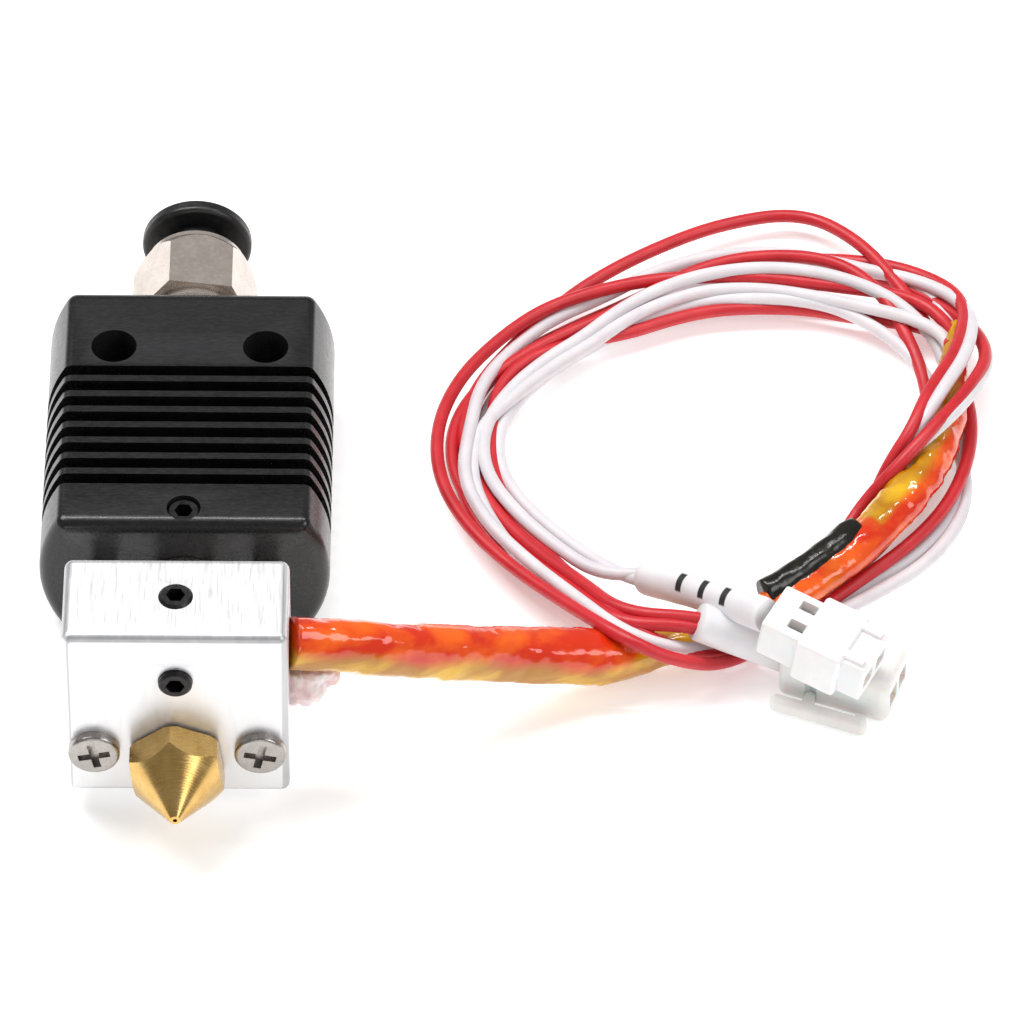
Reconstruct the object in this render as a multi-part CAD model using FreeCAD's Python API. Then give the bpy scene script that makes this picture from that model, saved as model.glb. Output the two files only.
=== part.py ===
"""Hotend assembly: heat sink, push-in tube fitting, heater block, nozzle and wired plugs.

Millimetres. The origin is the centre of the two mounting holes on the heat sink's back flat,
X runs across the flat, Y along the filament towards the fitting and Z away from the back flat.
The hotend lies on its back flat, and its leads lie on the same surface, at Z = 0.
"""
import FreeCAD, Part
import math
import os

from FreeCAD import Vector

# heat sink: a turned round bar with a flat on its front and its back
SINK_RADIUS = 13.25
SINK_HALF_DEPTH = 7.0
SINK_TOP_Y = 7.65
SINK_LENGTH = 30.6
SINK_EDGE = 1.2
SINK_TOP_EDGE = 1.5
SINK_LONG_EDGE = 0.9
GROOVE_COUNT = 8
GROOVE_WIDTH = 1.24
FIN_THICKNESS = 0.75
GROOVE_TOP_Y = -2.56
CORE_RADIUS = 5.6
AXIS_Z = SINK_HALF_DEPTH
SINK_BOTTOM_Y = SINK_TOP_Y - SINK_LENGTH

MOUNT_HOLE_SPACING = 14.0
MOUNT_HOLE_RADIUS = 2.1
SOCKET_RADIUS = 5.0
SOCKET_DEPTH = 5.0
TUBE_BORE_RADIUS = 2.1
SINK_SCREW_Y = -20.75
TAPPED_M3_RADIUS = 1.55
SET_SCREW_RADIUS = 1.5
SET_SCREW_CHAMFER = 0.2
SET_SCREW_KEY = 1.5
SET_SCREW_SOCKET_DEPTH = 1.5
SET_SCREW_TIP_GAP = 0.03
SINK_SCREW_SINK = 0.35

# heat break: a plain steel tube with a liner inside it
BREAK_RADIUS = 2.95
BREAK_BORE_RADIUS = 2.02
BREAK_TOP_Y = -10.0
BREAK_SOCKET_RADIUS = 3.0
LINER_BORE_RADIUS = 1.0

# heater block
BLOCK_WIDTH = 20.0
BLOCK_LENGTH = 10.0
BLOCK_HEIGHT = 20.0
BLOCK_GAP = 12.0
BLOCK_BACK_Z = 2.3
BLOCK_EDGE = 0.8
BLOCK_TOP_Y = SINK_BOTTOM_Y - BLOCK_GAP
BLOCK_FACE_Y = BLOCK_TOP_Y - BLOCK_LENGTH
BLOCK_SCREW_X = 7.4
BLOCK_SCREW_Z = 8.0
BLOCK_SCREW_RADIUS = 1.25
BLOCK_SCREW_HEAD_RADIUS = 2.3
BLOCK_SCREW_HEAD_HEIGHT = 0.95
BLOCK_SCREW_HEAD_EDGE = 0.35
BLOCK_SCREW_REACH = 4.4
# arm length, arm thickness and depth of the cross recess
BLOCK_SCREW_CROSS = (2.9, 0.7, 0.75)
FRONT_SCREW_PROUD = 0.25
FACE_SCREW_PROUD = 0.6
CARTRIDGE_RADIUS = 2.98
CARTRIDGE_BORE_RADIUS = 3.03
CARTRIDGE_Y = -39.8
CARTRIDGE_Z = 16.8
SENSOR_RADIUS = 1.2
SENSOR_Z = 11.4
SENSOR_DEPTH = 6.0
BEAD_RADIUS = 0.9
BEAD_LEAD_RADIUS = 0.25
BEAD_LEAD_OFFSET = 0.4

# nozzle
NOZZLE_HEX = 7.9
NOZZLE_HEX_LENGTH = 2.9
NOZZLE_SEAT_GAP = 0.25
NOZZLE_CONE_LENGTH = 4.55
NOZZLE_CONE_RADIUS = 3.95
NOZZLE_TIP_RADIUS = 0.5
NOZZLE_ORIFICE_RADIUS = 0.2
NOZZLE_SHANK_LENGTH = 5.0
NOZZLE_BORE_RADIUS = 1.0
NOZZLE_TURN = 97.4

# push-in fitting, on the filament axis
FITTING_THREAD_RADIUS = 4.95
FITTING_THREAD_ROOT = 4.5
FITTING_THREAD_PITCH = 1.0
FITTING_HEX = 10.2
FITTING_HEX_TURN = 112.5
FITTING_HEX_Y = 10.35
FITTING_SHOULDER_Y = 15.6
FITTING_MOUTH_Y = 17.2
FITTING_MOUTH_RADIUS = 4.88
FITTING_POCKET_RADIUS = 3.95
FITTING_POCKET_Y = 12.0
SEAL_POCKET_RADIUS = 3.6
SEAL_POCKET_Y = 10.4
SEAL_SECTION_RADIUS = 0.72
SEAL_RING_RADIUS = 2.86
RETAINER_TOP_Y = 18.1
RETAINER_SLEEVE_Y = 14.6
RETAINER_LIP_RADIUS = 4.65
RETAINER_CHAMFER = 0.25
STEM_RADIUS = 3.05
STEM_CLEARANCE = 0.08
STEM_TIP_Y = 14.5
COLLAR_FLANGE_Y = 20.15
COLLAR_FLANGE_THICKNESS = 1.5
COLLAR_FLANGE_RADIUS = 5.15
COLLAR_BORE_RADIUS = 2.05
GRIP_RING_Y = 12.05
GRIP_RING_THICKNESS = 0.4

# wires: the taped bundle of leads, then a loose coil of four thin wires
BUNDLE_RADIUS = 2.6
BUNDLE_ROUTE = [
    (10.05, -39.8, 16.4), (14.7, -38.8, 15.0), (19.3, -37.2, 12.8), (24.0, -35.1, 10.3),
    (28.5, -32.8, 7.7), (33.2, -30.9, 5.5), (38.2, -29.6, 3.9), (43.3, -27.7, 2.95),
    (48.6, -24.9, 2.7), (53.0, -21.5, 2.65), (57.3, -17.5, 2.7), (61.0, -13.3, 2.65),
    (64.3, -8.6, 2.7), (67.2, -3.0, 2.65), (69.5, 3.2, 2.7), (70.9, 9.6, 2.65),
    (71.4, 14.8, 2.7),
]
BUNDLE_SLEEVE_WALL = 0.2
BUNDLE_SLEEVE_RUNS = (9, 11)
SENSOR_TAIL_RADIUS = 1.1
SENSOR_TAIL_ROUTE = [(10.05, -39.8, SENSOR_Z), (12.4, -39.7, 11.5), (14.4, -39.1, 12.6)]
COIL_CENTRE = (48.5, 2.0)
COIL_HEIGHT = 4.0
COIL_OUTER_RADII = [25.6, 29.4, 28.8, 27.4, 22.4, 23.0, 25.8, 26.2, 27.0, 30.3, 27.0, 25.8]
COIL_INNER_RADII = [17.6, 21.2, 18.5, 16.3, 14.2, 15.2, 19.4, 20.6, 19.6, 21.0, 19.3, 16.8]

# plugs: each has its own frame, x out of the front, y across and z up, at its rear centre
HEATER_PLUG_REAR = Vector(55.0, -27.8, 0.1)
HEATER_PLUG_TURN = -21.0
HEATER_PLUG_SIZE = (10.6, 6.2, 5.0)
HEATER_PLUG_EDGE = 0.9
PIN_PITCH = 2.5
PIN_CAVITY = 1.8
LATCH_PIVOT_X = 3.3
LATCH_GAP = 0.9
LATCH_THICKNESS = 1.2
LATCH_LENGTH = 9.2
LATCH_HEIGHT = 1.7
LATCH_EDGE = 0.5
LATCH_INSET = 0.3
LATCH_STEM_WIDTH = 1.0
LATCH_STEM_SETBACK = 0.25
# length along the bar and reach towards the housing
LATCH_HOOK = (1.0, 0.4)
LATCH_KNUCKLE_RADIUS = 0.5
LATCH_KNUCKLE_CLEARANCE = 0.06
SENSOR_PLUG_REAR = Vector(52.9, -29.5, 6.85)
SENSOR_PLUG_TURN = -27.0
SENSOR_PLUG_DIP = 8.0
SENSOR_PLUG_SIZE = (10.5, 6.6, 5.0)
# the skirt's start and length as shares of the plug's, then its steps across and in height
SENSOR_PLUG_SKIRT = (0.36, 0.42, 0.6, 0.4)
# rib width, rib height and distance from the middle
SENSOR_PLUG_RIB = (0.8, 0.7, 1.9)
# window length and width
SENSOR_PLUG_WINDOW = (1.6, 1.1)
SENSOR_SLEEVE_RADIUS = 1.6
SENSOR_SLEEVE_ROUTE = [(42.0, -19.9, 4.3), (47.4, -24.2, 7.0), (52.85, -29.4, 9.3)]
HEATER_SLEEVE_RADIUS = 1.8
HEATER_SLEEVE_ROUTE = [(46.7, -27.9, 7.0), (50.9, -28.0, 4.9), (54.98, -27.8, 2.6)]

X_AXIS = Vector(1, 0, 0)
Y_AXIS = Vector(0, 1, 0)
Z_AXIS = Vector(0, 0, 1)
TO_TIP = Vector(0, -1, 0)


def save(node, shape):
    """One STEP file for each sub-part."""
    if not shape.isValid():
        print("INVALID", node)
    shape.exportStep("parts/" + node + ".step")


def rod(radius, low_y, high_y, x=0.0, z=AXIS_Z):
    """A round bar along Y."""
    return Part.makeCylinder(radius, high_y - low_y, Vector(x, low_y, z), Y_AXIS)


def ring(outer, inner, low_y, high_y):
    """A round tube on the filament axis."""
    return rod(outer, low_y, high_y).cut(rod(inner, low_y - 1, high_y + 1))


def cone(low_radius, high_radius, low_y, high_y):
    """A cone on the filament axis."""
    return Part.makeCone(low_radius, high_radius, high_y - low_y, Vector(0, low_y, AXIS_Z), Y_AXIS)


def hexagon(across_flats, turn, low_y, high_y):
    """A six-sided bar on the filament axis, with its first corner turned from X."""
    corner = across_flats / 2 / math.cos(math.pi / 6)
    points = []
    for step in range(7):
        angle = math.radians(turn) + step * math.pi / 3
        points.append(Vector(corner * math.cos(angle), low_y, AXIS_Z + corner * math.sin(angle)))
    return Part.Face(Part.makePolygon(points)).extrude(Vector(0, high_y - low_y, 0))


def route_wire(points):
    """Straight runs joined by tangent arcs, each as large as its two runs allow."""
    points = [Vector(*point) for point in points]
    edges = []
    start = points[0]
    radii = []
    for before, corner, after in zip(points, points[1:], points[2:]):
        back = (before - corner).normalize()
        ahead = (after - corner).normalize()
        half_turn = (math.pi - back.getAngle(ahead)) / 2
        reach = 0.45 * min((before - corner).Length, (after - corner).Length)
        radius = reach / math.tan(half_turn)
        radii.append(radius)
        arc_start = corner + back * reach
        arc_end = corner + ahead * reach
        middle = (back + ahead).normalize()
        arc_middle = corner + middle * (radius / math.cos(half_turn) - radius)
        edges.append(Part.LineSegment(start, arc_start).toShape())
        edges.append(Part.Arc(arc_start, arc_middle, arc_end).toShape())
        start = arc_end
    edges.append(Part.LineSegment(start, points[-1]).toShape())
    return Part.Wire(edges), radii


def tube_along(node, points, radius):
    """A round solid along a route; prints its arc radii and compares its volume."""
    wire, radii = route_wire(points)
    start = Vector(*points[0])
    circle = Part.Wire(Part.makeCircle(radius, start, Vector(*points[1]) - start))
    solid = wire.makePipeShell([circle], True, True)
    expected = math.pi * radius ** 2 * wire.Length
    print(node, "length %.1f" % wire.Length, "volume ratio %.4f" % (solid.Volume / expected),
          "least radius %.1f" % min(radii), ["%.0f" % value for value in radii])
    return solid


def placed(shape, origin, turn, dip=0.0):
    """A shape from a plug's own frame in its place, with its front dipped."""
    shape = shape.copy()
    shape.rotate(Vector(0, 0, 0), Y_AXIS, dip)
    shape.rotate(Vector(0, 0, 0), Z_AXIS, turn)
    shape.translate(origin)
    return shape


def bundle_sleeve(bundle):
    """A short sleeve over the bundle, from the middle of one run to the middle of another."""
    first, last = BUNDLE_SLEEVE_RUNS
    start = (Vector(*BUNDLE_ROUTE[first]) + Vector(*BUNDLE_ROUTE[first + 1])) / 2
    end = (Vector(*BUNDLE_ROUTE[last]) + Vector(*BUNDLE_ROUTE[last + 1])) / 2
    route = [start] + BUNDLE_ROUTE[first + 1:last + 1] + [end]
    return tube_along("bundle_sleeve", route, BUNDLE_RADIUS + BUNDLE_SLEEVE_WALL).cut(bundle)


def sink_section(low_y, high_y):
    """The heat sink's round and flatted section between two stations."""
    side = SINK_RADIUS + 1
    slab = Part.makeBox(2 * side, high_y - low_y, 2 * SINK_HALF_DEPTH, Vector(-side, low_y, 0))
    section = rod(SINK_RADIUS, low_y, high_y).common(slab)
    long_edges = [edge for edge in section.Edges
                  if len(edge.Vertexes) == 2 and abs(edge.tangentAt(edge.FirstParameter).y) > 0.99
                  and abs(edge.CenterOfMass.z - SINK_HALF_DEPTH) > SINK_HALF_DEPTH - 0.01]
    return section.makeFillet(SINK_LONG_EDGE, long_edges)


def end_edges(shape, y):
    """The edges of a section's end face at one station."""
    return [edge for edge in shape.Edges
            if abs(edge.BoundBox.YMin - y) < 1e-4 and abs(edge.BoundBox.YMax - y) < 1e-4]


def heat_sink():
    groove_end = GROOVE_TOP_Y - GROOVE_COUNT * GROOVE_WIDTH - (GROOVE_COUNT - 1) * FIN_THICKNESS
    top = sink_section(GROOVE_TOP_Y, SINK_TOP_Y)
    top = top.makeFillet(SINK_TOP_EDGE, end_edges(top, SINK_TOP_Y))
    bottom = sink_section(SINK_BOTTOM_Y, groove_end)
    bottom = bottom.makeFillet(SINK_EDGE, end_edges(bottom, SINK_BOTTOM_Y))
    pieces = [bottom, rod(CORE_RADIUS, groove_end - 0.5, GROOVE_TOP_Y + 0.5)]
    for index in range(GROOVE_COUNT - 1):
        fin_top = GROOVE_TOP_Y - (index + 1) * GROOVE_WIDTH - index * FIN_THICKNESS
        pieces.append(sink_section(fin_top - FIN_THICKNESS, fin_top))
    body = top.fuse(pieces)
    cuts = [
        rod(SOCKET_RADIUS, SINK_TOP_Y - SOCKET_DEPTH, SINK_TOP_Y + 1),
        rod(TUBE_BORE_RADIUS, BREAK_TOP_Y - 1, SINK_TOP_Y),
        rod(BREAK_SOCKET_RADIUS, SINK_BOTTOM_Y - 1, BREAK_TOP_Y + 0.1),
        Part.makeCylinder(TAPPED_M3_RADIUS, SINK_HALF_DEPTH + 1,
                          Vector(0, SINK_SCREW_Y, AXIS_Z), Z_AXIS),
    ]
    screw_hole_end = SINK_BOTTOM_Y + BLOCK_SCREW_REACH + 0.2
    for side in (-1, 1):
        hole = Vector(side * MOUNT_HOLE_SPACING / 2, 0, -1)
        cuts.append(Part.makeCylinder(MOUNT_HOLE_RADIUS, 2 * SINK_HALF_DEPTH + 2, hole, Z_AXIS))
        cuts.append(rod(BLOCK_SCREW_RADIUS + 0.03, SINK_BOTTOM_Y - 1, screw_hole_end,
                        side * BLOCK_SCREW_X, BLOCK_SCREW_Z))
    return body.cut(cuts)


def hex_socket_screw(length):
    """A grub screw along Z with its socket end at Z = 0 and its point below."""
    body = Part.makeCylinder(SET_SCREW_RADIUS, length, Vector(0, 0, -length), Z_AXIS)
    rims = [edge for edge in body.Edges if edge.Closed]
    body = body.makeChamfer(SET_SCREW_CHAMFER, rims)
    corner = SET_SCREW_KEY / 2 / math.cos(math.pi / 6)
    points = []
    for step in range(7):
        angle = step * math.pi / 3
        points.append(Vector(corner * math.cos(angle), corner * math.sin(angle),
                             -SET_SCREW_SOCKET_DEPTH))
    face = Part.Face(Part.makePolygon(points))
    return body.cut(face.extrude(Vector(0, 0, SET_SCREW_SOCKET_DEPTH + 1)))


def heat_sink_set_screw():
    """The grub screw that clamps the heat break, sunk in its hole."""
    screw_top = 2 * SINK_HALF_DEPTH - SINK_SCREW_SINK
    screw = hex_socket_screw(screw_top - AXIS_Z - BREAK_RADIUS - SET_SCREW_TIP_GAP)
    screw.translate(Vector(0, SINK_SCREW_Y, screw_top))
    return screw


def block_set_screws():
    """Two grub screws that clamp the cartridge: one from the front, one from the nozzle face."""
    reach = CARTRIDGE_RADIUS + SET_SCREW_TIP_GAP
    front_z = BLOCK_BACK_Z + BLOCK_HEIGHT + FRONT_SCREW_PROUD
    from_front = hex_socket_screw(front_z - CARTRIDGE_Z - reach)
    from_front.translate(Vector(0, CARTRIDGE_Y, front_z))
    face_y = BLOCK_FACE_Y - FACE_SCREW_PROUD
    from_face = hex_socket_screw(CARTRIDGE_Y - reach - face_y)
    from_face.rotate(Vector(0, 0, 0), X_AXIS, 90)
    from_face.translate(Vector(0, face_y, CARTRIDGE_Z))
    return Part.makeCompound([from_front, from_face])


def heat_break():
    return ring(BREAK_RADIUS, BREAK_BORE_RADIUS, nozzle_back_y(), BREAK_TOP_Y)


def ptfe_liner():
    return ring(BREAK_BORE_RADIUS - 0.02, LINER_BORE_RADIUS, nozzle_back_y(), BREAK_TOP_Y)


def nozzle_back_y():
    return BLOCK_FACE_Y - NOZZLE_SEAT_GAP + NOZZLE_SHANK_LENGTH


def heater_block():
    corner = Vector(-BLOCK_WIDTH / 2, BLOCK_FACE_Y, BLOCK_BACK_Z)
    block = Part.makeBox(BLOCK_WIDTH, BLOCK_LENGTH, BLOCK_HEIGHT, corner)
    block = block.makeFillet(BLOCK_EDGE, block.Edges)
    cuts = [
        rod(BREAK_SOCKET_RADIUS, BLOCK_FACE_Y - 1, BLOCK_TOP_Y + 1),
        Part.makeCylinder(CARTRIDGE_BORE_RADIUS, BLOCK_WIDTH + 2,
                          Vector(-BLOCK_WIDTH / 2 - 1, CARTRIDGE_Y, CARTRIDGE_Z), X_AXIS),
        Part.makeCylinder(SENSOR_RADIUS, SENSOR_DEPTH + 1,
                          Vector(BLOCK_WIDTH / 2 - SENSOR_DEPTH, CARTRIDGE_Y, SENSOR_Z), X_AXIS),
        Part.makeCylinder(TAPPED_M3_RADIUS, BLOCK_HEIGHT, Vector(0, CARTRIDGE_Y, CARTRIDGE_Z), Z_AXIS),
        Part.makeCylinder(TAPPED_M3_RADIUS, BLOCK_LENGTH, Vector(0, CARTRIDGE_Y, CARTRIDGE_Z), TO_TIP),
    ]
    for side in (-1, 1):
        cuts.append(rod(BLOCK_SCREW_RADIUS + 0.1, BLOCK_FACE_Y - 1, BLOCK_TOP_Y + 1,
                        side * BLOCK_SCREW_X, BLOCK_SCREW_Z))
    return block.cut(cuts)


def block_screw(side):
    """A pan-head cross-recess screw from the nozzle face, through the block, into the heat sink."""
    shank = rod(BLOCK_SCREW_RADIUS, BLOCK_FACE_Y - 0.1, SINK_BOTTOM_Y + BLOCK_SCREW_REACH)
    head = rod(BLOCK_SCREW_HEAD_RADIUS, BLOCK_FACE_Y - BLOCK_SCREW_HEAD_HEIGHT, BLOCK_FACE_Y)
    head = head.makeFillet(BLOCK_SCREW_HEAD_EDGE, end_edges(head, BLOCK_FACE_Y - BLOCK_SCREW_HEAD_HEIGHT))
    screw = shank.fuse(head)
    arm, thickness, depth = BLOCK_SCREW_CROSS
    low_y = BLOCK_FACE_Y - BLOCK_SCREW_HEAD_HEIGHT - 1
    for length, width in ((arm, thickness), (thickness, arm)):
        slot = Part.makeBox(length, depth + 1, width, Vector(-length / 2, low_y, AXIS_Z - width / 2))
        screw = screw.cut(slot)
    screw.rotate(Vector(0, 0, AXIS_Z), Y_AXIS, side * 12)
    screw.translate(Vector(side * BLOCK_SCREW_X, 0, BLOCK_SCREW_Z - AXIS_Z))
    return screw


def nozzle():
    hex_back = BLOCK_FACE_Y - NOZZLE_SEAT_GAP
    hex_front = hex_back - NOZZLE_HEX_LENGTH
    tip = hex_front - NOZZLE_CONE_LENGTH
    corner = NOZZLE_HEX / 2 / math.cos(math.pi / 6)
    head = hexagon(NOZZLE_HEX, NOZZLE_TURN, hex_front, hex_back)
    flare = (NOZZLE_CONE_RADIUS - NOZZLE_TIP_RADIUS) / NOZZLE_CONE_LENGTH
    chamfer = cone(NOZZLE_CONE_RADIUS, NOZZLE_CONE_RADIUS + NOZZLE_HEX_LENGTH * flare,
                   hex_front, hex_back)
    head = head.common(chamfer).common(cone(corner + 2.6, corner - 0.3, hex_front, hex_back))
    body = head.fuse([cone(NOZZLE_TIP_RADIUS, NOZZLE_CONE_RADIUS, tip, hex_front),
                      rod(BREAK_RADIUS, hex_back, nozzle_back_y())])
    bore = rod(NOZZLE_BORE_RADIUS, tip + 1.6, nozzle_back_y() + 1)
    taper = cone(NOZZLE_ORIFICE_RADIUS, NOZZLE_BORE_RADIUS, tip + 0.8, tip + 1.6)
    orifice = rod(NOZZLE_ORIFICE_RADIUS, tip - 1, tip + 1.0)
    return body.cut([bore, taper, orifice])


def heater_cartridge():
    shell = Part.makeCylinder(CARTRIDGE_RADIUS, BLOCK_WIDTH - 0.2,
                              Vector(-BLOCK_WIDTH / 2 + 0.2, CARTRIDGE_Y, CARTRIDGE_Z), X_AXIS)
    rims = [edge for edge in shell.Edges if edge.Closed and edge.CenterOfMass.x < 0]
    return shell.makeFillet(0.4, rims)


def thermistor_bead():
    """A glass bead with its two leads, in the sensor hole."""
    bead_x = BLOCK_WIDTH / 2 - SENSOR_DEPTH + 1.2
    bead = Part.makeSphere(BEAD_RADIUS, Vector(bead_x, CARTRIDGE_Y, SENSOR_Z))
    leads = []
    for offset in (-BEAD_LEAD_OFFSET, BEAD_LEAD_OFFSET):
        start = Vector(bead_x, CARTRIDGE_Y + offset, SENSOR_Z)
        leads.append(Part.makeCylinder(BEAD_LEAD_RADIUS, BLOCK_WIDTH / 2 - bead_x, start, X_AXIS))
    return bead.fuse(leads)


def fitting_body():
    """Threaded end, hexagon and domed shoulder of the push-in fitting, bored in steps."""
    thread_low = SINK_TOP_Y - SOCKET_DEPTH + 0.1
    thread = rod(FITTING_THREAD_ROOT, thread_low, FITTING_HEX_Y)
    crests = []
    crest_y = thread_low + 0.3
    while crest_y + FITTING_THREAD_PITCH * 0.5 < FITTING_HEX_Y:
        crest = rod(FITTING_THREAD_RADIUS, crest_y, crest_y + FITTING_THREAD_PITCH * 0.5)
        crests.append(crest.makeChamfer(0.2, [edge for edge in crest.Edges if edge.Closed]))
        crest_y += FITTING_THREAD_PITCH
    corner = FITTING_HEX / 2 / math.cos(math.pi / 6)
    head = hexagon(FITTING_HEX, FITTING_HEX_TURN, FITTING_HEX_Y, FITTING_MOUTH_Y)
    dome = rod(corner + 1, FITTING_HEX_Y, FITTING_SHOULDER_Y)
    dome = dome.fuse(cone(corner, FITTING_MOUTH_RADIUS, FITTING_SHOULDER_Y, FITTING_MOUTH_Y))
    body = thread.fuse(crests + [head.common(dome)])
    cuts = [
        rod(TUBE_BORE_RADIUS, thread_low - 1, SEAL_POCKET_Y + 0.1),
        rod(SEAL_POCKET_RADIUS, SEAL_POCKET_Y, FITTING_POCKET_Y + 0.1),
        rod(FITTING_POCKET_RADIUS, FITTING_POCKET_Y, FITTING_MOUTH_Y + 1),
    ]
    return body.cut(cuts)


def fitting_seal():
    centre = Vector(0, (SEAL_POCKET_Y + FITTING_POCKET_Y) / 2, AXIS_Z)
    return Part.makeTorus(SEAL_RING_RADIUS, SEAL_SECTION_RADIUS, centre, Y_AXIS)


def fitting_grip_ring():
    """A thin steel ring with claws that lean inwards onto the tube."""
    plate = ring(FITTING_POCKET_RADIUS - 0.03, 2.15, GRIP_RING_Y, GRIP_RING_Y + GRIP_RING_THICKNESS)
    claw_count = 8
    slots = []
    for index in range(claw_count):
        slot = Part.makeBox(3.0, 2.0, 0.4, Vector(0, GRIP_RING_Y - 0.5, AXIS_Z - 0.2))
        slot.rotate(Vector(0, 0, AXIS_Z), Y_AXIS, index * 360 / claw_count)
        slots.append(slot)
    return plate.cut(slots)


def fitting_retainer():
    """The metal ring pressed into the fitting's mouth that guides the collar."""
    bore = STEM_RADIUS + STEM_CLEARANCE
    sleeve = ring(FITTING_POCKET_RADIUS - 0.02, bore, RETAINER_SLEEVE_Y, RETAINER_TOP_Y)
    lip = ring(RETAINER_LIP_RADIUS, bore, FITTING_MOUTH_Y + 0.2, RETAINER_TOP_Y)
    rims = [edge for edge in end_edges(lip, RETAINER_TOP_Y) if edge.Curve.Radius > bore + 0.5]
    return sleeve.fuse(lip.makeChamfer(RETAINER_CHAMFER, rims))


def release_collar():
    """The collar that is pressed to free the tube: a thin stem with a round flange."""
    flange_top = COLLAR_FLANGE_Y + COLLAR_FLANGE_THICKNESS
    flange = rod(COLLAR_FLANGE_RADIUS, COLLAR_FLANGE_Y, flange_top)
    flange = flange.makeFillet(0.45, [edge for edge in flange.Edges if edge.Closed])
    body = flange.fuse(rod(STEM_RADIUS, STEM_TIP_Y, COLLAR_FLANGE_Y + 0.1))
    lead_in = cone(COLLAR_BORE_RADIUS, COLLAR_BORE_RADIUS + 0.5, flange_top - 0.5, flange_top)
    return body.cut([rod(COLLAR_BORE_RADIUS, STEM_TIP_Y - 1, flange_top + 1), lead_in])


def coil_outline(radii, shrink):
    """A closed smooth curve through radii at even angles round the coil's centre."""
    points = []
    for index, radius in enumerate(radii):
        angle = 2 * math.pi * index / len(radii)
        points.append(Vector(COIL_CENTRE[0] + (radius + shrink) * math.cos(angle),
                             COIL_CENTRE[1] + (radius + shrink) * math.sin(angle), 0.05))
    curve = Part.BSplineCurve()
    curve.interpolate(points, PeriodicFlag=True)
    return Part.Wire(curve.toShape())


def wire_coil():
    """The outer shape of the loose coil of four wires."""
    outer = Part.Face(coil_outline(COIL_OUTER_RADII, 0.2)).extrude(Vector(0, 0, COIL_HEIGHT))
    inner = Part.Face(coil_outline(COIL_INNER_RADII, -0.2)).extrude(Vector(0, 0, COIL_HEIGHT + 1))
    inner.translate(Vector(0, 0, -0.5))
    return outer.cut(inner)


def plug_cavity(length, centre_z, side):
    """The square way right through a plug housing for one contact."""
    centre_y = side * PIN_PITCH / 2
    corner = Vector(-1, centre_y - PIN_CAVITY / 2, centre_z - PIN_CAVITY / 2)
    return Part.makeBox(length + 2, PIN_CAVITY, PIN_CAVITY, corner)


def heater_plug_housing():
    """A rounded two-way housing with a groove down its near side for the latch's knuckle."""
    length, width, height = HEATER_PLUG_SIZE
    body = Part.makeBox(length, width, height, Vector(0, -width / 2, 0))
    body = body.makeFillet(HEATER_PLUG_EDGE, body.Edges)
    cuts = [plug_cavity(length, height / 2, side) for side in (-1, 1)]
    cuts.append(Part.makeCylinder(LATCH_KNUCKLE_RADIUS + LATCH_KNUCKLE_CLEARANCE, height + 2,
                                  Vector(LATCH_PIVOT_X, -width / 2, -1), Z_AXIS))
    return placed(body.cut(cuts), HEATER_PLUG_REAR, HEATER_PLUG_TURN)


def heater_plug_latch():
    """A rocker lever beside the housing, on a short stem with a round knuckle."""
    side_y = -HEATER_PLUG_SIZE[1] / 2
    near = side_y - LATCH_GAP
    stem_height = LATCH_HEIGHT - 2 * LATCH_INSET
    bar = Part.makeBox(LATCH_LENGTH, LATCH_THICKNESS, LATCH_HEIGHT,
                       Vector(0, near - LATCH_THICKNESS, 0))
    bar = bar.makeFillet(LATCH_EDGE, bar.Edges)
    stem_start = Vector(LATCH_PIVOT_X - LATCH_STEM_WIDTH / 2, near - LATCH_INSET, LATCH_INSET)
    stem = Part.makeBox(LATCH_STEM_WIDTH, LATCH_GAP + LATCH_INSET - LATCH_STEM_SETBACK,
                        stem_height, stem_start)
    knuckle = Part.makeCylinder(LATCH_KNUCKLE_RADIUS, stem_height,
                                Vector(LATCH_PIVOT_X, side_y, LATCH_INSET), Z_AXIS)
    hook_length, hook_reach = LATCH_HOOK
    hook_start = Vector(LATCH_LENGTH - hook_length - LATCH_INSET, near - LATCH_INSET, LATCH_INSET)
    hook = Part.makeBox(hook_length, hook_reach + LATCH_INSET, stem_height, hook_start)
    return placed(bar.fuse([stem, knuckle, hook]), HEATER_PLUG_REAR, HEATER_PLUG_TURN)


def crimp_contacts(size, origin, turn, dip=0.0):
    """Two folded-box contacts, one in each cavity, open at the front for a pin."""
    length, _, height = size
    side_length = PIN_CAVITY - 0.3
    wall = 0.25
    contacts = []
    for side in (-1, 1):
        centre_y = side * PIN_PITCH / 2
        low = Vector(length * 0.3, centre_y - side_length / 2, (height - side_length) / 2)
        box = Part.makeBox(length * 0.6, side_length, side_length, low)
        opening = Part.makeBox(length * 0.5, side_length - 2 * wall, side_length - 2 * wall,
                               low + Vector(length * 0.2, wall, wall))
        barrel = Part.makeCylinder(side_length * 0.36, length * 0.25 + 0.5,
                                   Vector(length * 0.05, centre_y, height / 2), X_AXIS)
        contacts.append(placed(box.cut(opening).fuse(barrel), origin, turn, dip))
    return Part.makeCompound(contacts)


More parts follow.
